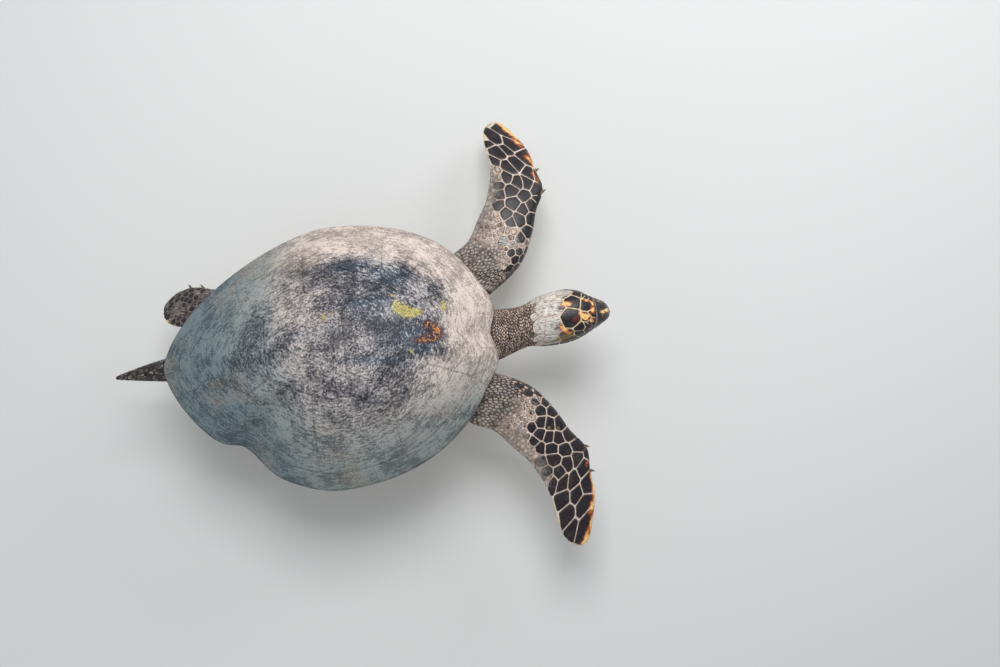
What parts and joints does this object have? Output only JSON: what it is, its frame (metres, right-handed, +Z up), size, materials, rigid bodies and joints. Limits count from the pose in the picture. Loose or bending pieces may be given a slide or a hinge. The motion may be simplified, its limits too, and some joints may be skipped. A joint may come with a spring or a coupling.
{
  "type": "hawksbill sea turtle model",
  "caption": "Life-size still model of an adult hawksbill sea turtle gliding with spread front flippers, on a flat base with short rods.",
  "frame": {"origin": "centre of the stand base's underside, below the middle of the shell", "axes": "+X towards the beak, +Y to the turtle's left, +Z up"},
  "size_m": [1.152, 1.0313, 0.4301],
  "materials": {
    "scute": "worn shell under a pale film of silt and algae, matt",
    "plastron": "pale yellow horn plates with brown blotches, satin",
    "skin": "near-black scales with pale cream seams on dusty grey-brown skin",
    "beak": "brown and cream horn, satin",
    "claw": "yellow-brown horn, satin",
    "eye": "dark wet eye, glossy",
    "stand_base": "black lacquered board, satin",
    "stand_rod": "round steel rod, satin"
  },
  "bodies": {
    "root": {"carapace": "scute", "plastron": "plastron", "head": "skin", "neck": "skin", "trunk": "skin", "tail": "skin", "eye_left": "eye", "eye_right": "eye", "beak_upper": "beak", "beak_lower": "beak", "front_flipper_left": "skin", "front_flipper_left_claw_1": "claw", "front_flipper_left_claw_2": "claw", "front_flipper_right": "skin", "front_flipper_right_claw_1": "claw", "front_flipper_right_claw_2": "claw", "rear_flipper_left": "skin", "rear_flipper_left_claw_1": "claw", "rear_flipper_left_claw_2": "claw", "rear_flipper_right": "skin", "rear_flipper_right_claw_1": "claw", "rear_flipper_right_claw_2": "claw", "stand_base": "stand_base", "stand_rod_front": "stand_rod", "stand_rod_rear": "stand_rod"}
  },
  "joints": []
}
